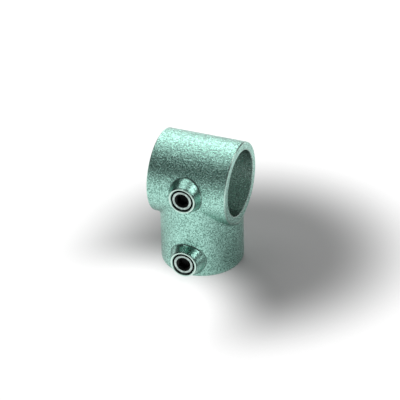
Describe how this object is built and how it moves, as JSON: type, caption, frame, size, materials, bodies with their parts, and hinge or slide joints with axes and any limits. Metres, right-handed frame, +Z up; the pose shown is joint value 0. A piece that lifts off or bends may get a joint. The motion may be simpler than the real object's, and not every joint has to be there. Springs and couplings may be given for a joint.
{
  "type": "tube clamp tee fitting",
  "caption": "Cast iron short tee that joins an upright round tube to a crossbar tube passing through it, each tube gripped by a hexagon socket set screw.",
  "frame": {"origin": "where the axis of the crossbar bore crosses the axis of the upright socket", "axes": "+X along the crossbar tube, +Z up along the upright tube's axis, -Y towards the set screws"},
  "size_m": [0.0616, 0.0688, 0.0997],
  "materials": {
    "casting": "galvanised, rough as cast",
    "set_screw": "plated"
  },
  "bodies": {
    "fitting": {"casting": "casting"},
    "crossbar_screw": {"crossbar_set_screw": "set_screw"},
    "upright_screw": {"upright_set_screw": "set_screw"}
  },
  "joints": [
    {"name": "crossbar_screw_travel", "type": "slide", "parent": "fitting", "child": "crossbar_screw", "axis": [0, 1, 0], "range_m": [-0.00535, 0.00267]},
    {"name": "upright_screw_travel", "type": "slide", "parent": "fitting", "child": "upright_screw", "axis": [0, 1, 0], "range_m": [-0.00535, 0.00267]}
  ]
}
